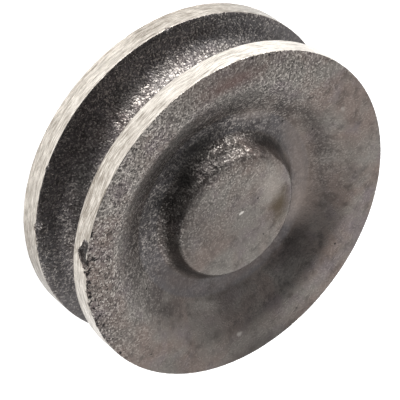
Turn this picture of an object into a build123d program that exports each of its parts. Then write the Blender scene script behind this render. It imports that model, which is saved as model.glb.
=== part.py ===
from build123d import *
import math
import os

# A one-piece cast iron sheave for wire rope, solid at the hub and not yet bored.
# It lies flat on one side: the wheel's axis is +Z, the origin is the middle of
# the lower face. All sizes are in millimetres and degrees.

# Wheel
outside_diameter = 75.0     # over the two ground lands
overall_width = 23.0        # face to face
rim_corner = 0.35           # broken edge between a face and its land

# Rope groove: a round bottom and two drafted walls
groove_radius = 6.2         # suits rope of about 12 mm
groove_depth = 9.2          # from the lands to the bottom of the groove
groove_draft = 10.0         # each wall's lean away from square
mouth_corner = 0.3          # broken edge between a groove wall and its land

# Dished face, the same on both sides
dish_diameter = 60.5        # where the slope of the dish meets the flat rim face
dish_depth = 4.9
dish_lip_radius = 8.0       # round between the rim face and the slope
floor_diameter = 42.6       # outer edge of the floor of the dish
floor_radius = 5.5          # round between the slope and the floor

# Boss, flush with the rim face
boss_diameter = 28.4        # at its top
boss_draft = 20.0           # lean of its side away from square
boss_edge_radius = 1.5
boss_root_radius = 3.5

# A chipped stretch of the upper land, at its edge with the face. Each hollow is
# the cap of a ball: (degrees round the wheel, distance below the upper face,
# radius of the ball, how far it cuts into the land)
rim_chips = [
    (-50.9, 1.2, 1.6, 0.55),
    (-48.2, 1.7, 1.5, 0.70),
    (-45.1, 0.8, 1.3, 0.50),
]

os.makedirs("parts", exist_ok=True)

outer_radius = outside_diameter / 2
half_width = overall_width / 2
floor_height = half_width - dish_depth
root_radius = outer_radius - groove_depth
groove_centre = root_radius + groove_radius
lean = math.tan(math.radians(groove_draft))

# Each groove wall is tangent to the round bottom and leans out to the land.
wall_start = (
    groove_centre - groove_radius * math.sin(math.radians(groove_draft)),
    groove_radius * math.cos(math.radians(groove_draft)),
)
mouth_height = wall_start[1] + (outer_radius - wall_start[0]) * lean
boss_root = boss_diameter / 2 + dish_depth * math.tan(math.radians(boss_draft))

# Half of the section, as radius and height above the wheel's mid plane: the side
# face from the axis out to the rim, and then the land and the groove wall.
face_corners = [
    (0, half_width),
    (boss_diameter / 2, half_width),
    (boss_root, floor_height),
    (floor_diameter / 2, floor_height),
    (dish_diameter / 2, half_width),
    (outer_radius - rim_corner, half_width),
]
face_radii = [boss_edge_radius, boss_root_radius, floor_radius, dish_lip_radius]
land_corners = [
    (outer_radius - rim_corner, half_width),
    (outer_radius, half_width - rim_corner),
    (outer_radius, mouth_height + mouth_corner),
    (outer_radius - mouth_corner, mouth_height - mouth_corner * lean),
    wall_start,
]
mid_plane = Plane.XZ.shift_origin((0, 0, half_width))

with BuildPart() as sheave:
    with BuildSketch(mid_plane) as section:
        with BuildLine():
            FilletPolyline(*face_corners, radius=face_radii)
            Polyline(*land_corners)
            CenterArc((groove_centre, 0), groove_radius, 90 + groove_draft, 90 - groove_draft)
            Polyline((root_radius, 0), (0, 0), (0, half_width))
        make_face()
        mirror(about=Plane.XZ)
    revolve(axis=Axis.Z)
    for angle, depth_below_face, ball_radius, bite in rim_chips:
        with PolarLocations(outer_radius + ball_radius - bite, 1, start_angle=angle):
            with Locations((0, 0, overall_width - depth_below_face)):
                Sphere(ball_radius, mode=Mode.SUBTRACT)

sheave.part.label = "sheave"
export_step(sheave.part, "parts/sheave.step")

print("groove mouth", round(2 * mouth_height, 2))
print("land width", round(half_width - mouth_height, 2))
print("volume", round(sheave.part.volume, 1))
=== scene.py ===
"""Dresses a one-piece cast iron wire rope sheave: its sand-cast skin, ground lands, studio and camera.

The wheel lies on one side face, its axis along +Z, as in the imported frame. One closed mesh stands for
the whole casting. The mesh is the turned section of the wheel, roughened as sand roughens iron, and then
cut back to a true cylinder where the two lands were ground.
"""

from __future__ import annotations

import logging
import math
from collections.abc import Iterable
from dataclasses import dataclass, field
from enum import Enum

import bpy
import numpy as np
from mathutils import Matrix, Vector


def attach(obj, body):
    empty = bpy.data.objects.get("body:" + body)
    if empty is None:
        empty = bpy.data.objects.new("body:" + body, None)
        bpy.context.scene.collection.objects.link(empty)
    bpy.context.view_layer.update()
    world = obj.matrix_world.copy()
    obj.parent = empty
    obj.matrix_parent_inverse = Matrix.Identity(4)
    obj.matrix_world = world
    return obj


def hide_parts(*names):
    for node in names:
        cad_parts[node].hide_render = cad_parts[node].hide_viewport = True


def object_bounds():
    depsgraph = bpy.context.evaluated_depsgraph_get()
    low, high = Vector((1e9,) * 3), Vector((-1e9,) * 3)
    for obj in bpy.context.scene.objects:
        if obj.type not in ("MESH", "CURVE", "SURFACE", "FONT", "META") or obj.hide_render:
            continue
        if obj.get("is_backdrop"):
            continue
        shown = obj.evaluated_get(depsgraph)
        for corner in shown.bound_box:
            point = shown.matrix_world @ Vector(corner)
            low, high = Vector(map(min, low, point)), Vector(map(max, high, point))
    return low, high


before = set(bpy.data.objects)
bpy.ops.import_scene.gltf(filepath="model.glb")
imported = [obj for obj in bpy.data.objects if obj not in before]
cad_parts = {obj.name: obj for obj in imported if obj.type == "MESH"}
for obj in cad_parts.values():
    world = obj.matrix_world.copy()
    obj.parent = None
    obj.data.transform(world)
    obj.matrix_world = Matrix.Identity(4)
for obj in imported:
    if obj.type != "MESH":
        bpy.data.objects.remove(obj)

MM = 0.001
NODE = "sheave"
BODY = "root"
FEWEST_ARC_POINTS = 6
FEWEST_RUN_POINTS = 2
MEAN_NOISE = 0.5                        # of a noise texture
ADD = {"operation": "ADD"}
MULTIPLY = {"operation": "MULTIPLY"}
MULTIPLY_ADD = {"operation": "MULTIPLY_ADD"}

Pair = tuple[float, float]
Ramp = tuple[float, float, float, float]    # a pattern's range, and the range of values it is sent onto
Source = bpy.types.Node | bpy.types.NodeSocket

log = logging.getLogger("sheave")


# ---------------------------------------------------------------- helpers

def linear(hex_colour: str) -> tuple[float, float, float, float]:
    """Turns an sRGB hex colour into Blender's linear colour.

    Args:
        hex_colour: Six hex digits after a hash sign.

    Returns:
        Linear red, green and blue, and an alpha of one.
    """
    parts = (int(hex_colour[i:i + 2], 16) / 255 for i in (1, 3, 5))
    steps = [c / 12.92 if c <= 0.04045 else ((c + 0.055) / 1.055) ** 2.4 for c in parts]
    return (steps[0], steps[1], steps[2], 1.0)


def smoothstep(low: float, high: float, x: np.ndarray) -> np.ndarray:
    """Rises from 0 at low to 1 at high along 3t^2 - 2t^3."""
    t = np.clip((x - low) / (high - low), 0.0, 1.0)
    return t * t * (3 - 2 * t)


def plateau(rise: Pair, fall: Pair, x: np.ndarray) -> np.ndarray:
    """Rises from 0 to 1 along the first range and falls back to 0 along the second."""
    return smoothstep(*rise, x) * (1 - smoothstep(*fall, x))


def round_the_wheel(angle: np.ndarray, table: tuple[Pair, ...]) -> np.ndarray:
    """Values at angles in radians, in straight runs between the table's pairs of degrees and value."""
    known = np.array(table)
    return np.interp(angle, np.radians(known[:, 0]), known[:, 1], period=2 * math.pi)


def spun(radius: np.ndarray, height: np.ndarray, angle: np.ndarray) -> np.ndarray:
    """Points at x = radius cos(angle), y = radius sin(angle), z = height, with x, y and z last."""
    return np.stack(np.broadcast_arrays(radius * np.cos(angle), radius * np.sin(angle), height), axis=-1)


def lattice_noise(points: np.ndarray, period: float, seed: int) -> np.ndarray:
    """Smooth noise in space, from -1 to 1.

    Random values stand on a cubic lattice, and a point takes the mean of the eight round it, weighted by
    the smoothstep of its place in the cell along each axis.

    Args:
        points: Places in metres, with x, y and z last.
        period: Size of a lattice cell in metres.
        seed: Picks the random values.

    Returns:
        One value for each point.
    """
    side = 32
    values = np.random.default_rng(seed).uniform(-1.0, 1.0, (side, side, side))
    scaled = points / period
    cell = np.floor(scaled).astype(int)
    w = smoothstep(0.0, 1.0, scaled - cell)
    total = np.zeros(points.shape[:-1])
    for corner in np.ndindex(2, 2, 2):
        weight = np.ones(points.shape[:-1])
        for axis in range(3):
            weight = weight * (w[..., axis] if corner[axis] else 1 - w[..., axis])
        i, j, k = ((cell[..., axis] + corner[axis]) % side for axis in range(3))
        total = total + weight * values[i, j, k]
    return total


def rounded_path(corners: np.ndarray, radii: list[float], step: float) -> tuple[np.ndarray, np.ndarray]:
    """A polyline with an arc at each inner corner, as close points.

    An arc of radius r at a corner that turns by an angle a starts r tan(a / 2) before the corner.

    Args:
        corners: The corners in order, each a radius and a height.
        radii: One radius for each corner between the ends.
        step: Distance between points.

    Returns:
        The points, and the radius of curvature at each, which is infinite on a straight run.
    """
    points, bends = [], []
    start = corners[0]
    for before, corner, after, radius in zip(corners[:-2], corners[1:-1], corners[2:], radii):
        come = (corner - before) / np.linalg.norm(corner - before)
        go = (after - corner) / np.linalg.norm(after - corner)
        turn = math.acos(float(np.clip(come @ go, -1.0, 1.0)))
        reach = radius * math.tan(turn / 2)
        side = 1.0 if come[0] * go[1] - come[1] * go[0] > 0 else -1.0
        arc_start = corner - come * reach
        centre = arc_start + side * radius * np.array([-come[1], come[0]])
        add_run(points, bends, start, arc_start, step)
        count = max(FEWEST_ARC_POINTS, int(radius * turn / step))
        angles = side * np.linspace(0.0, turn, count, endpoint=False)
        spoke = arc_start - centre
        points.append(np.stack([
            centre[0] + spoke[0] * np.cos(angles) - spoke[1] * np.sin(angles),
            centre[1] + spoke[0] * np.sin(angles) + spoke[1] * np.cos(angles),
        ], axis=1))
        bends.append(np.full(count, radius))
        start = corner + go * reach
    add_run(points, bends, start, corners[-1], step)
    points.append(corners[-1][None, :])
    bends.append(np.array([np.inf]))
    return np.concatenate(points), np.concatenate(bends)


def add_run(points: list[np.ndarray], bends: list[np.ndarray], start: np.ndarray, end: np.ndarray,
            step: float) -> None:
    """Adds a straight run from start up to, but without, end to the two lists.

    Args:
        points: Arrays of points so far.
        bends: Arrays of radii of curvature so far.
        start: First point of the run.
        end: Where the run ends.
        step: Distance between points.
    """
    count = max(FEWEST_RUN_POINTS, int(np.linalg.norm(end - start) / step))
    t = np.linspace(0.0, 1.0, count, endpoint=False)[:, None]
    points.append(start + (end - start) * t)
    bends.append(np.full(count, np.inf))


def add_object(name: str, data: bpy.types.ID) -> bpy.types.Object:
    """Puts an object with its data into the scene.

    Args:
        name: Name of the object.
        data: Its mesh, lamp or camera.

    Returns:
        The object.
    """
    made = bpy.data.objects.new(name, data)
    bpy.context.scene.collection.objects.link(made)
    return made


def stand(place: Vector, back: Vector, roll: float = 0.0) -> Matrix:
    """The matrix of a lamp or camera that stands at a place, its back turned that way, rolled by degrees."""
    turned = back.to_track_quat("Z", "Y").to_matrix().to_4x4()
    return Matrix.Translation(place) @ turned @ Matrix.Rotation(math.radians(roll), 4, "Z")


# ---------------------------------------------------------------- the casting

@dataclass(frozen=True)
class Flaw:
    """A hollow that the casting has where sand or gas got in, or where its edge broke."""

    angle: float                # degrees round the wheel from +X
    radius: float               # from the axis, in metres
    height: float               # above the wheel's mid plane, in metres
    reach: float                # half its length along the rim, in metres
    spread: float               # half its width across the rim, in metres
    depth: float                # in metres
    heart: float = 0.35         # the share of its size that is fully deep
    raggedness: float = 0.3     # of its border, as a share of its size

    def hollow(self, points: np.ndarray, half_width: float, rough: np.ndarray) -> np.ndarray:
        """How deep the flaw is at each point.

        The depth falls off as a smoothstep of the distance, which is measured in reaches along the rim and
        in spreads along the other two directions, and its border is made ragged by the noise.

        Args:
            points: Surface points in metres.
            half_width: Height of the mid plane.
            rough: Noise at the points, from -1 to 1.

        Returns:
            Depths in metres.
        """
        cos, sin = math.cos(math.radians(self.angle)), math.sin(math.radians(self.angle))
        away = points - np.array([self.radius * cos, self.radius * sin, half_width + self.height])
        along = away @ np.array([-sin, cos, 0.0]) / self.reach
        outward = away @ np.array([cos, sin, 0.0]) / self.spread
        distance = np.sqrt(along ** 2 + (away[..., 2] / self.spread) ** 2 + outward ** 2)
        return self.depth * (1 - smoothstep(self.heart, 1.0, distance + self.raggedness * rough))


@dataclass
class WheelSection:
    """The turned section of the wheel, half of it, and mirrored. Sizes in metres."""

    outer_radius: float
    half_width: float
    groove_radius: float = 6.2 * MM
    groove_depth: float = 9.2 * MM
    groove_draft: float = 10.0              # degrees
    dish_radius: float = 30.25 * MM
    dish_depth: float = 4.9 * MM
    dish_lip_radius: float = 8.0 * MM
    floor_radius: float = 21.3 * MM
    floor_round: float = 5.5 * MM
    boss_radius: float = 14.2 * MM
    boss_draft: float = 20.0                # degrees
    boss_edge_round: float = 1.5 * MM
    boss_root_round: float = 3.5 * MM
    grinding_stock: float = 0.13 * MM       # cast metal outside the ground lands
    cast_rim_round: float = 0.32 * MM
    cast_mouth_round: float = 0.4 * MM
    path_step: float = 0.04 * MM            # between the close points that the rows are picked from
    bottom_points: int = 240                # of them on the groove's round bottom
    rows: int = 99                          # rings of the mesh on each half
    finest_row: float = 0.12 * MM
    coarsest_row: float = 0.75 * MM
    row_per_bend: float = 0.33              # spacing of the rows, as a share of the radius of curvature
    smoothing: int = 31                     # close points over which the spacing is smoothed

    @property
    def groove_centre(self) -> float:
        """Radius at which the round bottom of the groove has its centre."""
        return self.outer_radius - self.groove_depth + self.groove_radius

    @property
    def wall_start(self) -> np.ndarray:
        """Radius and height at which the groove's round bottom runs into its wall."""
        lean = math.radians(self.groove_draft)
        return np.array([
            self.groove_centre - self.groove_radius * math.sin(lean),
            self.groove_radius * math.cos(lean),
        ])

    @property
    def mouth_height(self) -> float:
        """Height of the land's groove side edge above the mid plane."""
        start = self.wall_start
        return start[1] + (self.outer_radius - start[0]) * math.tan(math.radians(self.groove_draft))

    def half_path(self) -> tuple[np.ndarray, np.ndarray]:
        """The upper half of the section before grinding, from the axis to the groove's bottom.

        Returns:
            Close points, each a radius and a height, and the radius of curvature at each.
        """
        lean = math.radians(self.groove_draft)
        cast_radius = self.outer_radius + self.grinding_stock
        floor = self.half_width - self.dish_depth
        corners = np.array([
            (0.0, self.half_width),
            (self.boss_radius, self.half_width),
            (self.boss_radius + self.dish_depth * math.tan(math.radians(self.boss_draft)), floor),
            (self.floor_radius, floor),
            (self.dish_radius, self.half_width),
            (cast_radius, self.half_width),
            (cast_radius, self.mouth_height + self.grinding_stock * math.tan(lean)),
            self.wall_start,
        ])
        radii = [self.boss_edge_round, self.boss_root_round, self.floor_round,
                 self.dish_lip_radius, self.cast_rim_round, self.cast_mouth_round]
        points, bends = rounded_path(corners, radii, self.path_step)
        turn = np.linspace(math.pi / 2 + lean, math.pi, self.bottom_points)[1:]
        bottom = np.stack([
            self.groove_centre + self.groove_radius * np.cos(turn),
            self.groove_radius * np.sin(turn),
        ], axis=1)
        bends = np.concatenate([bends, np.full(len(turn), self.groove_radius)])
        return np.concatenate([points, bottom]), bends

    def half_rows(self) -> np.ndarray:
        """The places of the mesh's rings on the upper half, closer together where the section bends.

        The wished spacing is a share of the radius of curvature between two limits, smoothed along the
        path, and the rows stand at equal steps of the running sum of step over spacing.

        Returns:
            One radius and height for each row, the first on the axis and the last in the mid plane.
        """
        path, bends = self.half_path()
        steps = np.linalg.norm(np.diff(path, axis=0), axis=1)
        bends = np.where(np.isinf(bends), 1.0, bends)
        wished = np.clip(self.row_per_bend * bends, self.finest_row, self.coarsest_row)
        kernel = np.hanning(self.smoothing)
        padded = np.pad(1 / wished, self.smoothing // 2, mode="edge")
        density = np.convolve(padded, kernel / kernel.sum(), mode="valid")
        run = np.concatenate([[0.0], np.cumsum(steps * 0.5 * (density[1:] + density[:-1]))])
        at = np.linspace(0.0, run[-1], self.rows + 1)
        return np.stack([np.interp(at, run, path[:, 0]), np.interp(at, run, path[:, 1])], axis=1)

    def full_rows(self) -> tuple[np.ndarray, np.ndarray]:
        """The whole section with its outward directions.

        Returns:
            Rows from the upper pole down to the lower pole, and a unit normal for each.
        """
        upper = self.half_rows()
        lower = upper[-2::-1] * np.array([1.0, -1.0])
        rows = np.concatenate([upper, lower])
        along = np.gradient(rows, axis=0)
        along = along / np.linalg.norm(along, axis=1, keepdims=True)
        normals = np.stack([-along[:, 1], along[:, 0]], axis=1)
        normals[0] = (0.0, 1.0)
        normals[-1] = (0.0, -1.0)
        return rows, normals


@dataclass
class SheaveCasting:
    """The wheel as one closed mesh: the section spun round, roughened, chipped and ground."""

    section: WheelSection
    flaws: list[Flaw] = field(default_factory=list)
    spokes: int = 500                       # mesh columns round the wheel
    roughness: tuple[tuple[int, float, float], ...] = (     # seed, period and height of each noise
        (11, 11.0 * MM, 0.09 * MM),         # slow unevenness of the mould
        (12, 2.6 * MM, 0.035 * MM),         # dimples
        (13, 1.1 * MM, 0.03 * MM),          # coarse sand
    )
    recess_depth: float = 3.5 * MM          # where a recess counts in full
    core_lumps: float = 1.3                 # how much rougher the recesses are
    groove_lumps: float = 0.6               # the groove's share of that
    groove_sand: float = 0.8                # how coarse the groove's sand is
    groove_tone: float = 0.35               # how much of the skin's colour the groove's darker grey covers
    wall_tone: float = 0.4                  # how much more it hides on the groove's walls
    wall_rise: Pair = (0.72, 0.97)          # where the walls begin, in groove radii from the mid plane
    finest_sand: float = 0.3
    sand_growth: float = 0.85               # how much coarser it is at -Y
    sand_border: Pair = (-5.0 * MM, 18.0 * MM)      # where it turns coarse, along -Y
    sand_period: float = 12.0 * MM          # of the patches that move this border,
    sand_wander: float = 5.0 * MM           # and how far
    sand_seed: int = 9
    wrinkle_height: float = 0.13 * MM       # where the core wrinkled on the dish's floor
    wrinkle_period: float = 1.4 * MM
    wrinkle_radii: tuple[Pair, Pair] = ((14.5 * MM, 16.5 * MM), (20.0 * MM, 23.0 * MM))
    wrinkle_angles: tuple[Pair, Pair] = ((215.0, 250.0), (325.0, 350.0))    # degrees
    wrinkle_seed: int = 15
    ragged_period: float = 0.9 * MM         # raggedness of the flaws' borders
    ragged_seed: int = 10
    shallowest_flaw: float = 0.08 * MM      # a flaw less deep than this leaves the ground metal bright
    flaw_border: float = 10.0               # how sharply the bright metal ends round a deeper one
    dark_flaw: float = 0.4 * MM             # a flaw this deep gets as much painted shade as a recess
    face_peaks: float = 0.985               # share of the surface that stays below the faces' true planes
    face_clearance: float = 0.002 * MM      # how far the faces stay inside the wheel's box,
    clearance: float = 0.01 * MM            # and the ground lands
    runout: float = 0.1 * MM                # how far the ground lands are out of round
    runout_waves: tuple[Pair, Pair] = ((2.0, 0.7), (5.0, 2.0))      # waves round the wheel, and phases
    lower_runout: float = 0.2               # the lower land's share of it
    crown: float = 0.5 * MM                 # extra metal ground off the middle of each land
    crumble_reach: Pair = (0.4 * MM, 2.6 * MM)      # from the rim's edge inwards
    crumble: tuple[Pair, ...] = (           # how much of that edge fell out, by the angle in degrees
        (0.0, 0.0), (195.0, 0.0), (215.0, 0.08), (300.0, 0.05), (318.0, 0.9), (340.0, 0.75))
    upper_polish_and_painted_light: tuple[Pair, ...] = (      # how bright each land is, by the angle in degrees: the belt's uneven grinding, with painted light round the wheel
        (180.0, 0.45), (205.0, 0.6), (231.0, 0.9), (268.0, 0.32), (297.0, 0.04), (319.0, 0.2), (360.0, 0.35))
    lower_polish_and_painted_light: tuple[Pair, ...] = (
        (180.0, -0.9), (198.0, -0.7), (212.0, 0.04), (266.0, 0.6), (315.0, 0.25), (342.0, -0.5),
        (360.0, -0.4))

    def surface(self) -> tuple[np.ndarray, dict[str, np.ndarray]]:
        """The finished surface on a grid of rows by spokes.

        A point is its place on the section, turned by its angle, and pushed along the section's normal by
        the lumps. The faces are let down until only their peaks pass their true planes, and are cut off
        there. A point outside the land's ground radius is set back to it. Flaws push it inwards last.

        Returns:
            The points, and their attributes: "ground", the depth of metal that was ground off in
            millimetres, below zero where none was; "recess", 0 on the faces and lands and 1 well inside the
            dishes and the groove, which also sets the skin's painted shade; "groove", the share of the
            groove's darker grey; "sand", how coarse the sand lay there; "crumble", how much of the edge fell
            out; and "polish", how bright the lands are painted, after how brightly the belt ground them and
            with painted light round the wheel.
        """
        section, middle = self.section, self.section.half_width
        rows, normals = section.full_rows()
        out, up = normals[:, :1], normals[:, 1:]
        radius, level = rows[:, :1], rows[:, 1:]
        angle = np.linspace(0.0, 2 * math.pi, self.spokes, endpoint=False)[None, :]
        base = spun(radius, level + middle, angle)
        proud = radius - section.outer_radius
        in_groove = np.abs(level) < section.mouth_height
        walls = smoothstep(*self.wall_rise, np.abs(level) / section.groove_radius)
        recess = smoothstep(0.0, self.recess_depth, np.minimum(middle - np.abs(level), -proud))
        recess = recess * np.where(in_groove, self.groove_lumps, 1.0)
        sand = self.coarseness(base) * np.where(in_groove, self.groove_sand, 1.0)
        push = self.lumps(base, sand, recess) + self.wrinkles(base, radius, angle)
        hollow = self.hollow(base)
        wander = self.wander(angle) * np.where(level > 0, 1.0, self.lower_runout)
        ground = section.outer_radius - self.clearance - wander
        bulge = self.crown * smoothstep(0.0, section.grinding_stock, proud)
        cast = radius + out * push + bulge
        height = level + middle + up * push
        peaks = np.quantile(np.abs(height - middle), self.face_peaks) - middle
        height = height - up * (peaks * np.abs(up) + hollow)
        height = np.clip(height, self.face_clearance, 2 * middle - self.face_clearance)
        edge = np.hypot(proud, np.abs(level) - middle)
        return spun(np.minimum(cast, ground) - out * hollow, height, angle), {
            "ground": np.minimum(cast - ground, self.flaw_border * (self.shallowest_flaw - hollow)) / MM,
            # the recess share also sets the skin's painted shade, and deep flaws get it in full
            "recess": np.maximum(recess, smoothstep(0.0, self.dark_flaw, hollow)),
            "groove": in_groove * (self.groove_tone + self.wall_tone * walls),
            "sand": sand,
            "crumble": (1 - smoothstep(*self.crumble_reach, edge)) * round_the_wheel(angle, self.crumble),
            "polish_and_painted_light": np.where(level > 0, *(
                round_the_wheel(angle, table) for table in (self.upper_polish_and_painted_light, self.lower_polish_and_painted_light)
            )),
        }

    def coarseness(self, base: np.ndarray) -> np.ndarray:
        """How coarse the sand lay at each point: it rises along -Y, across a border that wanders."""
        patches = self.sand_wander * lattice_noise(base, self.sand_period, self.sand_seed)
        return self.finest_sand + self.sand_growth * smoothstep(*self.sand_border, patches - base[..., 1])

    def lumps(self, base: np.ndarray, sand: np.ndarray, recess: np.ndarray) -> np.ndarray:
        """The sum of the roughness noises, higher in coarse sand and in the recesses, where a core lay."""
        noises = (lattice_noise(base, period, seed) * size for seed, period, size in self.roughness)
        return sand * sum(noises) * (1 + self.core_lumps * recess)

    def wrinkles(self, base: np.ndarray, radius: np.ndarray, angle: np.ndarray) -> np.ndarray:
        """Noise on a stretch of the dish's floor, where the core wrinkled."""
        share = plateau(*self.wrinkle_radii, radius) * plateau(*self.wrinkle_angles, np.degrees(angle))
        return self.wrinkle_height * share * lattice_noise(base, self.wrinkle_period, self.wrinkle_seed)

    def hollow(self, base: np.ndarray) -> np.ndarray:
        """The depth of the deepest flaw at each point of the smooth surface, in metres."""
        ragged = lattice_noise(base, self.ragged_period, self.ragged_seed)
        return np.max([
            flaw.hollow(base, self.section.half_width, ragged) for flaw in self.flaws
        ], axis=0, initial=0.0)

    def wander(self, angle: np.ndarray) -> np.ndarray:
        """How far the grinding wandered inwards: the runout times the mean of two raised cosines."""
        return self.runout * sum(1 - np.cos(waves * angle + phase) for waves, phase in self.runout_waves) / 4

    def build(self, name: str) -> bpy.types.Object:
        """Makes the mesh object, its poles closed with fans and its faces outwards.

        Args:
            name: Name of the object.

        Returns:
            The object, linked to the scene, with the surface's attributes on its points.
        """
        points, attributes = self.surface()
        rings = points[1:-1]
        count = rings.shape[0]
        poles = points[[0, -1]].mean(axis=1)
        vertices = np.concatenate([rings.reshape(-1, 3), poles])
        ring, spoke = np.meshgrid(np.arange(count - 1), np.arange(self.spokes), indexing="ij")
        following = (spoke + 1) % self.spokes
        quads = np.stack([
            ring * self.spokes + spoke,
            (ring + 1) * self.spokes + spoke,
            (ring + 1) * self.spokes + following,
            ring * self.spokes + following,
        ], axis=-1).reshape(-1, 4)
        around = np.arange(self.spokes)
        beside = (around + 1) % self.spokes
        last = (count - 1) * self.spokes
        pole = np.full(self.spokes, count * self.spokes)
        fans = np.concatenate([
            np.stack([pole, around, beside], axis=-1),
            np.stack([pole + 1, last + beside, last + around], axis=-1),
        ])
        mesh = bpy.data.meshes.new(name)
        mesh.from_pydata(vertices.tolist(), [], quads.tolist() + fans.tolist())
        mesh.validate()
        for title, values in attributes.items():
            values = np.broadcast_to(values, points.shape[:2])
            flat = np.concatenate([values[1:-1].reshape(-1), values[[0, -1]].mean(axis=1)])
            mesh.attributes.new(title, "FLOAT", "POINT").data.foreach_set("value", flat.astype(np.float32))
        mesh.shade_smooth()
        return add_object(name, mesh)


# ---------------------------------------------------------------- finishes

def add_node(tree: bpy.types.NodeTree, kind: str, settings: dict[str | int, object] | tuple = (),
             links: dict[str | int, Source] | None = None) -> bpy.types.Node:
    """Adds one shader node with its settings and incoming links.

    Args:
        tree: Node tree of a material or of the world.
        kind: Blender's name for the node, without the "ShaderNode" it starts with.
        settings: Values of the node's properties, and of its inputs by name or number. A tuple gives the
            inputs from number 1 on. A hex colour is turned linear.
        links: For an input by name or number, the output that feeds it, or a node for its first output.

    Returns:
        The new node.
    """
    node = tree.nodes.new("ShaderNode" + kind)
    if isinstance(settings, tuple):
        settings = dict(enumerate(settings, start=1))
    for key, value in settings.items():
        if isinstance(key, str) and hasattr(node, key):
            setattr(node, key, value)
        else:
            node.inputs[key].default_value = linear(value) if isinstance(value, str) else value
    for key, source in (links or {}).items():
        output = source.outputs[0] if isinstance(source, bpy.types.Node) else source
        tree.links.new(output, node.inputs[key])
    return node


def lay_colours(tree: bpy.types.NodeTree, first: str | Source,
                layers: list[tuple[Source, str | Source]]) -> Source:
    """Lays colours over one another, each by its own share.

    Args:
        tree: Node tree of a material.
        first: The colour below, a hex code or an output.
        layers: For each colour laid on it, the share from 0 to 1 and the colour.

    Returns:
        The colour output.
    """
    below = first
    for share, tone in layers:
        settings, links = {"data_type": "RGBA"}, {0: share}
        for slot, colour in ((6, below), (7, tone)):
            (settings if isinstance(colour, str) else links)[slot] = colour
        below = add_node(tree, "Mix", settings, links).outputs[2]
    return below


class Spread(Enum):
    """How a colour spot ends."""

    CRISP = 0.75
    SOFT = 0.15


@dataclass(frozen=True)
class Start:
    """What each pattern of a material starts from."""

    tree: bpy.types.NodeTree
    place: Source                   # object coordinates
    marks: dict[str, Source]        # the mesh's attributes, and the patterns made so far, by name


@dataclass(frozen=True)
class Blotches:
    """Cloudy patches of one colour, there where a noise passes from low to high."""

    colour: str
    size: float             # of a patch, in metres
    low: float
    high: float
    strength: float
    detail: float = 2.0
    distortion: float = 0.0

    def share(self, start: Start) -> Source:
        """How strongly the patches cover each place, from 0 to the strength."""
        cloud = add_node(start.tree, "TexNoise", {
            "Scale": 1 / self.size,
            "Detail": self.detail,
            "Distortion": self.distortion,
        }, {"Vector": start.place})
        return add_node(start.tree, "MapRange", (self.low, self.high, 0.0, self.strength), {0: cloud})


@dataclass(frozen=True)
class Spot:
    """A patch of another colour on the cast skin. Sizes in millimetres."""

    name: str
    angle: float            # degrees round the wheel from +X
    radius: float           # from the axis
    height: float           # above the floor
    reach: float            # half its length along the rim
    spread: float           # half its width
    colour: str
    strength: float
    border: Spread = Spread.SOFT

    def share(self, start: Start) -> Source:
        """How strongly the spot covers each place.

        The place is turned so that the spot lies on +X, moved to the spot's middle and divided by its
        half sizes; the length of that, made ragged by noise, fades from the middle to 1.

        Args:
            start: The material's tree, place and marks.

        Returns:
            The share, from 0 to the strength.
        """
        tree = start.tree
        turned = add_node(tree, "VectorRotate", {
            "rotation_type": "Z_AXIS",
            "Angle": -math.radians(self.angle),
        }, {"Vector": start.place})
        moved = add_node(tree, "VectorMath", {
            "operation": "SUBTRACT",
            1: (self.radius * MM, 0.0, self.height * MM),
        }, {0: turned})
        scaled = add_node(tree, "VectorMath", {
            "operation": "DIVIDE",
            1: (self.spread * MM, self.reach * MM, self.spread * MM),
        }, {0: moved})
        distance = add_node(tree, "VectorMath", {"operation": "LENGTH"}, {0: scaled}).outputs["Value"]
        size = min(self.spread, self.reach) * MM
        ragged = add_node(tree, "TexNoise", {"Scale": 1 / size, "Detail": 3.0}, {"Vector": start.place})
        total = add_node(tree, "Math", ADD, {0: distance, 1: ragged})
        return add_node(tree, "MapRange", {
            "label": self.name,
            1: MEAN_NOISE + 1.0,
            2: MEAN_NOISE + self.border.value,
            4: self.strength,
        }, {0: total})


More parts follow.
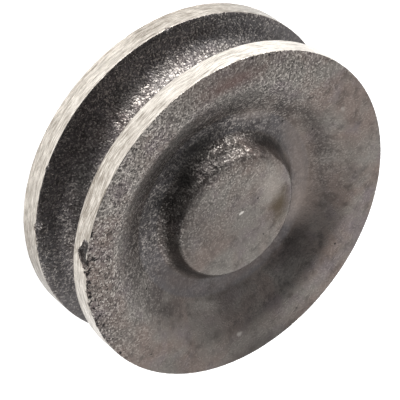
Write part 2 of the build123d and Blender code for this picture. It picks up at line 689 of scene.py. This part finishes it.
@dataclass(frozen=True)
class CastSkin:
    """As-cast grey iron from a sand mould: scale and sand grains.

    To the eye it is a dull brown-grey that glitters where the grains are coarse, with violet and brown
    tints in it. Painted shade darkens it in its hollows.
    """

    neutral: str = "#78736e"
    tints: tuple[Blotches, ...] = (
        Blotches("#756963", 9.0 * MM, 0.4, 0.62, 1.0, 2.0, 0.4),
        Blotches("#716868", 5.0 * MM, 0.5, 0.72, 1.0),
    )
    # painted shade: the colour that darkens the recesses, in blotches
    recess: Blotches = Blotches("#4a4441", 7.0 * MM, 0.25, 0.65, 1.0)
    groove: str = "#565456"
    stain: Blotches = Blotches("#2c2826", 2.2 * MM, 0.5, 0.7, 0.45, 3.0)
    burnt_sand: Spot = Spot("black_core_sand", 275.0, 16.2, 20.2, 13.5, 5.4, "#131110", 0.95)
    pale: str = "#b9b2ab"
    dark: str = "#262322"
    pale_grains: Ramp = (0.66, 1.0, 0.0, 0.85)      # by a grain's random tone
    dark_grains: Ramp = (0.4, 0.05, 0.0, 0.85)
    grain_show: Ramp = (0.3, 1.15, 0.12, 1.0)       # how much they show, by how coarse the sand is
    grain_size: float = 0.3 * MM            # foundry sand is 0.2 mm; this is as fine as still shows
    grain_bump: Ramp = (0.0, 1.0, 0.0765, 0.1105)   # in millimetres, from the faces to the recesses
    pebble_size: float = 0.55 * MM
    pore_gap: float = 2.6 * MM
    pore_radius: float = 0.3 * MM           # of the largest
    pore_start: float = 0.5                 # the share of the cells that have none
    pore_edge: Ramp = (-0.01, 0.03, 0.0, 1.0)       # in pore gaps
    crumb_size: float = 0.55 * MM
    crumb_share: float = 0.33               # of the crumbs that fall out where the edge crumbled
    hollows: tuple[tuple[str, float], ...] = (      # patterns, and how far they sink in grain bumps
        ("dome", -0.5), ("pore", -1.0), ("crumb", -1.6))
    grain_roughness: Ramp = (0.2, 0.9, 0.42, 0.24)  # by a grain's random tone
    deep_roughness: float = 0.07            # added to it in the recesses
    burnt_roughness: float = 0.6
    metallic: Ramp = (0.0, 1.0, 0.88, 0.8)  # from the clean skin to the burnt sand


@dataclass(frozen=True)
class GroundLand:
    """Cast iron ground on a belt: bare metal with fine scratches round the wheel.

    To the eye it is bright, a little warm and streaky, with duller beige patches where the belt bit less,
    and it is painted brighter and darker round the wheel as painted light.
    """

    bright: str = "#e9e3da"
    dull: str = "#968e84"
    shade: str = "#8b8277"
    scratch: str = "#5f574c"
    blotch_size: float = 3.0 * MM
    blotches: Ramp = (0.3, 0.7, -0.2, 0.2)  # what they add to the polish
    tired_and_shaded: Ramp = (0.0, -1.0, 0.0, 1.0)     # how much darker the land is where its painted brightness falls below zero: duller metal and painted shade
    streak_length: float = 9.0 * MM
    streak_width: float = 0.5 * MM
    hair_length: float = 2.5 * MM
    hair_width: float = 0.22 * MM           # belt scratches are 0.05 mm; this is as fine as still shows
    drift_size: float = 15.0 * MM           # of the noise that makes the scratches wander,
    drift: float = 3.0 * MM                 # and how far they do
    gleam: Ramp = (0.48, 0.36, 0.0, 0.35)   # the bright parts of the streaks,
    band: Ramp = (0.5, 0.6, 0.0, 0.35)      # their dark parts
    line: Ramp = (0.6, 0.66, 0.0, 0.7)      # and the scratches in the middle of those
    dark_hair: Ramp = (0.5, 0.64, 0.0, 0.55)
    pale_hair: Ramp = (0.5, 0.36, 0.0, 0.6)
    roughness: Ramp = (0.3, 0.7, 0.25, 0.38)        # by the streaks
    scratch_bump: Ramp = (0.0, 1.0, 0.0, 0.014)     # in millimetres, by the streaks
    border_size: float = 0.6 * MM
    border_wander: Ramp = (0.5, 1.5, -0.5, 0.5)     # millimetres of grinding depth
    border_calm: Ramp = (0.7, 0.9, 0.2, 1.0)        # how much of that, by half widths off the mid plane
    border: Ramp = (-0.012, 0.012, 0.0, 1.0)        # by millimetres of grinding depth


@dataclass(frozen=True)
class SheaveIron:
    """The wheel's one material: cast skin, and ground land wherever the attribute says it was ground."""

    half_width: float
    spots: tuple[Spot, ...] = ()
    skin: CastSkin = CastSkin()
    land: GroundLand = GroundLand()

    def build(self, name: str) -> bpy.types.Material:
        """Makes the material.

        Args:
            name: Name of the material.

        Returns:
            The material.
        """
        material = bpy.data.materials.new(name)
        material.use_nodes = True
        tree = material.node_tree
        tree.nodes.clear()
        marks = {
            title: add_node(tree, "Attribute", {"attribute_name": title}).outputs["Fac"]
            for title in ("ground", "recess", "groove", "sand", "crumble", "polish_and_painted_light")
        }
        start = Start(tree, add_node(tree, "TexCoord").outputs["Object"], marks)
        marks |= self.sand(start)
        marks["streaks"] = self.streaks(start, self.land.streak_length, self.land.streak_width)
        marks["bare"] = self.bare_share(start)
        marks["burnt"] = self.skin.burnt_sand.share(start)
        metal = add_node(tree, "MapRange", self.skin.metallic, {0: marks["burnt"]})
        layers = [(marks["bare"], self.land_colour(start))]
        shader = add_node(tree, "BsdfPrincipled", {}, {
            "Base Color": lay_colours(tree, self.skin_colour(start), layers),
            "Metallic": add_node(tree, "Mix", {3: 1.0}, {0: marks["bare"], 2: metal}),
            "Roughness": self.roughness(start),
            "Normal": self.relief(start),
        })
        add_node(tree, "OutputMaterial", {}, {"Surface": shader})
        return material

    def sand(self, start: Start) -> dict[str, Source]:
        """The patterns that sand leaves in the skin.

        Grains are the cells of a cell pattern, each with a random tone and domed by its distance from the
        cell's middle. Pores stand in some cells of a coarser pattern, each with a radius that is the
        cell's own random share of the largest one. Crumbs are cells too, and some of them fell out.

        Args:
            start: The material's tree, place and marks.

        Returns:
            The outputs "tone" and "dome" of the grains, and "pore" and "crumb", which are one inside a
            hollow.
        """
        tree, skin = start.tree, self.skin
        grains, holes, crumbs = (
            add_node(tree, "TexVoronoi", {"Scale": 1 / size}, {"Vector": start.place})
            for size in (skin.grain_size, skin.pore_gap, skin.crumb_size)
        )
        tone, pick, loose = (
            add_node(tree, "SeparateColor", {}, {0: cells.outputs["Color"]})
            for cells in (grains, holes, crumbs)
        )
        radius = add_node(tree, "MapRange", (
            skin.pore_start, 1.0, 0.0, skin.pore_radius / skin.pore_gap,
        ), {0: pick})
        inside = add_node(tree, "Math", {"operation": "SUBTRACT"}, {0: radius, 1: holes.outputs["Distance"]})
        doomed = add_node(tree, "Math", MULTIPLY | {1: skin.crumb_share}, {0: start.marks["crumble"]})
        return {
            "tone": tone,
            "dome": grains.outputs["Distance"],
            "pore": add_node(tree, "MapRange", skin.pore_edge, {0: inside}),
            "crumb": add_node(tree, "Math", {"operation": "LESS_THAN"}, {0: loose, 1: doomed}),
        }

    def skin_colour(self, start: Start) -> Source:
        """The colour of the cast skin.

        Slow noise tints the neutral grey brown and violet. Painted shade darkens the recesses, in blotches,
        and the groove is darkest. Stains go over that, then the dark and the pale grains, the named spots,
        and last the crumbs and the pores, painted dark as painted shade in their hollows.

        Args:
            start: The material's tree, place and marks.

        Returns:
            The colour.
        """
        tree, marks, skin = start.tree, start.marks, self.skin
        # painted shade: the recesses darkened by their depth, in blotches
        deep = add_node(tree, "Math", MULTIPLY, {0: marks["recess"], 1: skin.recess.share(start)})
        layers = [(tint.share(start), tint.colour) for tint in skin.tints]
        layers += [(deep, skin.recess.colour), (marks["groove"], skin.groove)]
        layers += [(skin.stain.share(start), skin.stain.colour)]
        show = add_node(tree, "MapRange", skin.grain_show, {0: marks["sand"]})
        for grains, tone in ((skin.dark_grains, skin.dark), (skin.pale_grains, skin.pale)):
            picked = add_node(tree, "MapRange", grains, {0: marks["tone"]})
            layers.append((add_node(tree, "Math", MULTIPLY, {0: picked, 1: show}), tone))
        layers += [(spot.share(start), spot.colour) for spot in self.spots]
        layers += [(marks["burnt"], skin.burnt_sand.colour)]
        # painted shade: the crumbs' and pores' hollows painted dark
        layers += [(marks["crumb"], skin.dark), (marks["pore"], skin.dark)]
        return lay_colours(tree, skin.neutral, layers)

    def streaks(self, start: Start, length: float, width: float) -> Source:
        """The scratches of the land.

        They are noise stretched along x and y, which run round the wheel on its outer cylinder. Their
        height wanders with a slow noise, so that they cross it at a slight slope.

        Args:
            start: The material's tree, place and marks.
            length: Of a scratch, in metres.
            width: Of a scratch, in metres.

        Returns:
            The noise.
        """
        tree, land = start.tree, self.land
        drift = add_node(tree, "TexNoise", {"Scale": 1 / land.drift_size, "Detail": 1.0}, {
            "Vector": start.place,
        })
        rise = add_node(tree, "MapRange", {4: land.drift}, {0: drift})
        lifted = add_node(tree, "CombineXYZ", {}, {2: rise})
        moved = add_node(tree, "VectorMath", ADD, {0: start.place, 1: lifted})
        stretched = add_node(tree, "VectorMath", {
            "operation": "DIVIDE",
            1: (length, length, width),
        }, {0: moved})
        return add_node(tree, "TexNoise", {
            "Scale": 1.0,
            "Detail": 3.0,
            "Roughness": 0.8,
        }, {"Vector": stretched})

    def land_colour(self, start: Start) -> Source:
        """The colour of the ground land: dull to bright by how brightly the belt ground it, with painted
        light round the wheel, and by blotches, with scratches.

        The streaks are bright where their noise is low and darker where it is high, and the thin dark
        scratches are its peaks. Shorter and finer hairs go over them, dark and pale.

        Args:
            start: The material's tree, place and marks.

        Returns:
            The colour.
        """
        tree, land = start.tree, self.land
        polish_and_painted_light, streaks = start.marks["polish_and_painted_light"], start.marks["streaks"]
        cloud = add_node(tree, "TexNoise", {"Scale": 1 / land.blotch_size, "Detail": 3.0}, {
            "Vector": start.place,
        })
        uneven = add_node(tree, "MapRange", land.blotches, {0: cloud})
        # brightness share: the belt's grinding and painted light round the wheel, plus blotches
        shine = add_node(tree, "Math", ADD | {"use_clamp": True}, {0: polish_and_painted_light, 1: uneven})
        hairs = self.streaks(start, land.hair_length, land.hair_width)
        return lay_colours(tree, land.dull, [(shine, land.bright)] + [
            (add_node(tree, "MapRange", ramp, {0: pattern}), colour)
            for pattern, ramp, colour in (
                (streaks, land.gleam, land.bright),
                (streaks, land.band, land.shade),
                (streaks, land.line, land.scratch),
                # darker where the painted brightness is below zero: duller metal and painted shade
                (polish_and_painted_light, land.tired_and_shaded, land.scratch),
                (hairs, land.dark_hair, land.scratch),
                (hairs, land.pale_hair, land.bright),
            )
        ])

    def bare_share(self, start: Start) -> Source:
        """One where the metal was ground, zero on the skin.

        The border is ragged at the side faces, where it leaves the sandy skin, more so where the edge
        crumbled, and clean at the groove. Some scratches run out over it.

        Args:
            start: The material's tree, place and marks.

        Returns:
            The share.
        """
        tree, land = start.tree, self.land
        rough = add_node(tree, "TexNoise", {"Scale": 1 / land.border_size, "Detail": 3.0}, {
            "Vector": start.place,
        })
        both = add_node(tree, "Math", ADD, {0: rough, 1: start.marks["streaks"]})
        wander = add_node(tree, "MapRange", land.border_wander, {0: both})
        height = add_node(tree, "SeparateXYZ", {}, {0: start.place}).outputs["Z"]
        level = add_node(tree, "Math", {"operation": "SUBTRACT", 1: self.half_width}, {0: height})
        away = add_node(tree, "Math", {"operation": "ABSOLUTE"}, {0: level})
        calm, ragged, least, most = land.border_calm
        near_face = add_node(tree, "MapRange", (
            calm * self.half_width, ragged * self.half_width, least, most,
        ), {0: away})
        reach = add_node(tree, "Math", ADD, {0: near_face, 1: start.marks["crumble"]})
        total = add_node(tree, "Math", MULTIPLY_ADD, {0: wander, 1: reach, 2: start.marks["ground"]})
        return add_node(tree, "MapRange", land.border, {0: total})

    def roughness(self, start: Start) -> Source:
        """How rough each place is.

        Each grain has its own roughness, which grows with the recess and goes up to that of the burnt
        sand. The land's roughness follows its streaks.

        Args:
            start: The material's tree, place and marks.

        Returns:
            The roughness.
        """
        tree, marks, skin = start.tree, start.marks, self.skin
        grains = add_node(tree, "MapRange", skin.grain_roughness, {0: marks["tone"]})
        deepen = MULTIPLY_ADD | {1: skin.deep_roughness}
        deep = add_node(tree, "Math", deepen, {0: marks["recess"], 2: grains})
        scorched = add_node(tree, "Mix", {3: skin.burnt_roughness}, {0: marks["burnt"], 2: deep})
        land = add_node(tree, "MapRange", self.land.roughness, {0: marks["streaks"]})
        return add_node(tree, "Mix", {}, {0: marks["bare"], 2: scorched, 3: land})

    def relief(self, start: Start) -> Source:
        """The fine relief: grains, pebbles, pores and crumbs on the skin, scratches on the land.

        Args:
            start: The material's tree, place and marks.

        Returns:
            The normal.
        """
        tree, marks, skin = start.tree, start.marks, self.skin
        height = add_node(tree, "TexNoise", {"Scale": 1 / skin.pebble_size, "Detail": 3.0}, {
            "Vector": start.place,
        })
        for pattern, weight in skin.hollows:
            height = add_node(tree, "Math", MULTIPLY_ADD | {1: weight}, {0: marks[pattern], 2: height})
        deeper = add_node(tree, "MapRange", skin.grain_bump, {0: marks["recess"]})
        size = add_node(tree, "Math", MULTIPLY, {0: deeper, 1: marks["sand"]})
        sandy = add_node(tree, "Math", MULTIPLY, {0: height, 1: size})
        scratches = add_node(tree, "MapRange", self.land.scratch_bump, {0: marks["streaks"]})
        heights = add_node(tree, "Mix", {}, {0: marks["bare"], 2: sandy, 3: scratches})
        return add_node(tree, "Bump", {"Distance": MM, "Strength": 1.0}, {"Height": heights})


# ---------------------------------------------------------------- studio

@dataclass(frozen=True)
class Softbox:
    """A soft lamp that looks at the wheel."""

    name: str
    azimuth: float          # degrees round the wheel from +X
    elevation: float        # degrees
    width: float            # metres
    height: float           # metres
    watts: float
    distance: float = 0.9   # metres

    def build(self, target: Vector) -> None:
        """Hangs the lamp.

        Args:
            target: What it looks at.
        """
        lamp = bpy.data.lights.new(self.name, "AREA")
        lamp.shape = "RECTANGLE"
        lamp.size = self.width
        lamp.size_y = self.height
        lamp.energy = self.watts
        azimuth, elevation = math.radians(self.azimuth), math.radians(self.elevation)
        way = Vector((
            math.cos(azimuth) * math.cos(elevation),
            math.sin(azimuth) * math.cos(elevation),
            math.sin(elevation),
        ))
        add_object(self.name, lamp).matrix_world = stand(target + way * self.distance, way)


@dataclass(frozen=True)
class Studio:
    """The pale floor, the lamps and the dim surroundings."""

    softboxes: tuple[Softbox, ...]
    floor_size: float = 4.0
    floor_gap: float = 0.02 * MM            # how far it lies below the wheel
    floor_colour: str = "#eeeeee"
    floor_roughness: float = 0.95
    floor_glow: float = 0.8
    back: tuple[float, float, float] = (0.17, 0.98, 0.0)    # the direction of the room's bright side
    light: Ramp = (-0.15, 0.7, 0.07, 1.25)  # by the direction, from the front to the back
    white: Ramp = (-0.15, 0.3, 0.0, 1.0)    # how far its cool tint has gone
    dim_colour: str = "#dbe2f0"

    def build(self, target: Vector) -> None:
        """Builds the studio round the wheel.

        Args:
            target: What the lamps look at.
        """
        half = self.floor_size / 2
        mesh = bpy.data.meshes.new("studio_floor")
        corners = ((-half, -half), (half, -half), (half, half), (-half, half))
        mesh.from_pydata([(x, y, -self.floor_gap) for x, y in corners], [], [(0, 1, 2, 3)])
        floor = add_object("studio_floor", mesh)
        mesh.materials.append(self.paper())
        floor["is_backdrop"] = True
        for softbox in self.softboxes:
            softbox.build(target)
        bpy.context.scene.world = self.room()

    def room(self) -> bpy.types.World:
        """A room whose light grows from the dim, cool front and ceiling towards the bright back.

        Returns:
            The world.
        """
        world = bpy.data.worlds.new("studio_room")
        world.use_nodes = True
        tree = world.node_tree
        tree.nodes.clear()
        back = add_node(tree, "VectorMath", {
            "operation": "DOT_PRODUCT",
            1: self.back,
        }, {0: add_node(tree, "TexCoord").outputs["Generated"]}).outputs["Value"]
        white = add_node(tree, "MapRange", self.white, {0: back})
        background = add_node(tree, "Background", {}, {
            "Strength": add_node(tree, "MapRange", self.light, {0: back}),
            "Color": lay_colours(tree, self.dim_colour, [(white, "#ffffff")]),
        })
        add_node(tree, "OutputWorld", {}, {"Surface": background})
        return world

    def paper(self) -> bpy.types.Material:
        """White backdrop paper: matt and without any pattern, so that the eye sees only soft shadow on it.

        Returns:
            The material.
        """
        material = bpy.data.materials.new("backdrop_paper")
        material.use_nodes = True
        tree = material.node_tree
        tree.nodes.clear()
        shader = add_node(tree, "BsdfPrincipled", {
            "Base Color": self.floor_colour,
            "Roughness": self.floor_roughness,
            "Specular IOR Level": 0.0,
            "Emission Color": "#ffffff",
            "Emission Strength": self.floor_glow,
        })
        add_node(tree, "OutputMaterial", {}, {"Surface": shader})
        return material


@dataclass(frozen=True)
class Viewpoint:
    """The camera: a long lens that looks down on the near edge, turned well over on its side."""

    distance: float = 586.9 * MM
    elevation: float = 42.08        # degrees above the mid plane, as seen from -Y
    roll: float = 128.19            # degrees, anticlockwise from level
    aim: tuple[float, float, float] = (2.29 * MM, 0.25 * MM, 11.79 * MM)
    lens: float = 254.3             # millimetres
    sensor: float = 36.0            # millimetres
    clip: Pair = (0.05, 20.0)       # metres

    def build(self, target: Vector) -> None:
        """Sets the camera up.

        Args:
            target: Middle of the wheel.
        """
        raised = math.radians(self.elevation)
        place = target + Vector((0.0, -math.cos(raised), math.sin(raised))) * self.distance
        data = bpy.data.cameras.new("camera")
        data.lens = self.lens
        data.sensor_width = self.sensor
        data.clip_start, data.clip_end = self.clip
        camera = add_object("camera", data)
        camera.matrix_world = stand(place, place - Vector(self.aim), self.roll)
        bpy.context.scene.camera = camera


# ---------------------------------------------------------------- the scene

FLAWS = [       # degrees, and the other sizes in millimetres, the height from the mid plane
    Flaw(angle, *(size * MM for size in sizes))
    for angle, *sizes in (
        (-51.2, 37.5, 10.2, 1.7, 1.3, 0.55),    # the chip in the upper land
        (-48.4, 37.5, 9.7, 1.9, 1.5, 0.65),
        (-45.6, 37.5, 10.6, 1.6, 1.2, 0.5),
        (236.0, 37.5, -7.0, 0.7, 0.6, 0.3),     # pits
        (295.5, 37.5, -6.9, 0.9, 0.5, 0.25),
        (317.0, 37.5, -6.9, 1.5, 0.8, 0.35),
        (282.8, 35.3, 11.5, 0.5, 0.45, 0.35),
        (324.8, 33.0, 11.5, 0.5, 0.45, 0.35),
    )
] + [           # the worn edge of the boss
    Flaw(angle, 14.1 * MM, 11.4 * MM, 4.2 * MM, 2.4 * MM, depth * MM)
    for angle, depth in zip(range(186, 313, 14), (0.12, 0.25, 0.35, 0.4, 0.42, 0.42, 0.42, 0.38, 0.3, 0.18))
]

NICK_SIZES = (          # from and to, in millimetres
    (0.4, 1.1),         # reach
    (0.0, 0.35),        # below the side face
    (0.4, 0.75),        # spread
    (0.15, 0.4),        # depth
)


def edge_nicks(section: WheelSection, count: int, first: float, last: float, seed: int) -> list[Flaw]:
    """Small nicks along a stretch of the upper land's edge with the side face.

    Args:
        section: The wheel's section.
        count: How many nicks.
        first: Angle where the stretch starts, in degrees.
        last: Angle where it ends.
        seed: Picks their places and sizes.

    Returns:
        The nicks.
    """
    rng = np.random.default_rng(seed)
    nicks = []
    for angle in rng.uniform(first, last, count):
        reach, drop, spread, depth = (rng.uniform(*sizes) * MM for sizes in NICK_SIZES)
        nicks.append(Flaw(angle, section.outer_radius, section.half_width - drop, reach, spread, depth))
    return nicks


SPOTS = (
    Spot("dark_chip", -48.2, 37.4, 21.4, 3.2, 1.8, "#1f1c1b", 0.7, Spread.CRISP),
    # dark sand, and painted shade that dims the key light's highlight on the boss's side
    Spot("sand_and_painted_shade_on_boss_side", 243.0, 15.4, 21.4, 7.0, 2.6, "#262423", 0.9),
    Spot("sand_on_floor", 250.0, 18.6, 18.1, 12.0, 3.4, "#1f1d1c", 0.85),
    # painted shadow in the crease at the boss's root
    Spot("painted_shadow_at_boss_root", 191.0, 16.0, 18.6, 9.0, 2.2, "#242221", 0.9),
    # painted shade on the dish's slope in its dark lower crescent
    Spot("painted_shade_low_in_dish", 46.0, 27.0, 20.6, 10.0, 4.5, "#4a4340", 0.3),
    Spot("dust_on_floor", 210.0, 21.2, 18.6, 7.0, 2.4, "#988c84", 0.45),
    Spot("dust_on_floor_right", 150.0, 19.6, 18.3, 19.0, 4.2, "#8c7e76", 0.42),
    # painted light: a paler patch on the dish's slope standing in for light
    Spot("painted_light_right_in_dish", 120.0, 20.8, 18.7, 8.5, 4.6, "#978a82", 0.55),
    Spot("clean_boss_side", 168.0, 9.6, 23.0, 7.0, 5.0, "#aaa098", 0.4),
    Spot("dull_boss_top", 345.0, 6.0, 23.0, 14.0, 14.0, "#5d5753", 0.3),
    Spot("dull_boss_side_low", 342.0, 14.0, 21.8, 6.0, 3.0, "#4a4643", 0.5),
    Spot("dull_boss_side", 305.0, 11.0, 23.0, 9.0, 5.5, "#4e4a48", 0.5),
    Spot("rust_on_boss", 131.0, 10.8, 23.0, 5.4, 3.8, "#4d4233", 0.9),
    Spot("brown_boss_root_right", 72.0, 18.2, 18.4, 12.0, 3.8, "#554a45", 0.6),
    Spot("brown_boss_root_low", 15.0, 18.2, 18.4, 12.0, 3.8, "#554a45", 0.5),
    Spot("dull_face_above", 234.0, 33.6, 23.0, 20.0, 6.5, "#59504c", 0.6),
    Spot("dull_face_below", 50.0, 32.0, 23.0, 26.0, 8.0, "#453f3c", 0.6),
    # painted shade on the rim's rounded lower edge, where it falls away from the light
    Spot("painted_shade_lower_edge", 62.0, 36.8, 22.8, 20.0, 3.6, "#2f2b29", 0.6),
    Spot("dull_dish_right", 142.0, 28.0, 22.0, 10.0, 3.4, "#5a524d", 0.5),
    Spot("brown_rim", 233.0, 32.8, 23.0, 9.0, 2.4, "#5f4743", 0.5),
    Spot("pale_mark_right", 50.8, 30.8, 22.6, 1.0, 0.7, "#b5b0aa", 0.6),
    Spot("pale_mark_top", 169.8, 31.1, 22.6, 1.0, 0.7, "#b5b0aa", 0.6),
    Spot("bright_fleck", 160.0, 0.9, 23.0, 0.35, 0.7, "#d0cbc4", 0.8, Spread.CRISP),
)

SOFTBOXES = (
    Softbox("low_key", 222.0, 9.0, 1.35, 0.42, 15.5),
    Softbox("right_fill", 10.0, 45.0, 0.8, 0.5, 1.3),
    Softbox("left_fill", 184.0, 35.0, 0.7, 0.5, 3.6),
)


def main() -> None:
    """Builds the wheel, the studio and the camera."""
    cad_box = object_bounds()
    low, high = Vector(cad_box[0]), Vector(cad_box[1])
    middle = (low + high) / 2
    section = WheelSection(outer_radius=(high.x - low.x) / 2, half_width=(high.z - low.z) / 2)
    nicks = edge_nicks(section, count=18, first=316.0, last=352.0, seed=5)
    casting = SheaveCasting(section, FLAWS + nicks).build("wheel_casting")
    iron = SheaveIron(section.half_width, SPOTS).build("cast_iron_with_ground_lands")
    casting.data.materials.append(iron)
    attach(casting, BODY)
    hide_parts(NODE)
    log.info("wheel_casting: %d vertices, %d faces", len(casting.data.vertices), len(casting.data.polygons))
    Studio(SOFTBOXES).build(middle)
    log.info("studio: %d softboxes", len(SOFTBOXES))
    Viewpoint().build(middle)
    bpy.context.scene.view_settings.view_transform = "Standard"
    log.info("camera set")


if __name__ == "__main__":
    logging.basicConfig(level=logging.INFO, format="%(name)s: %(message)s")
    main()
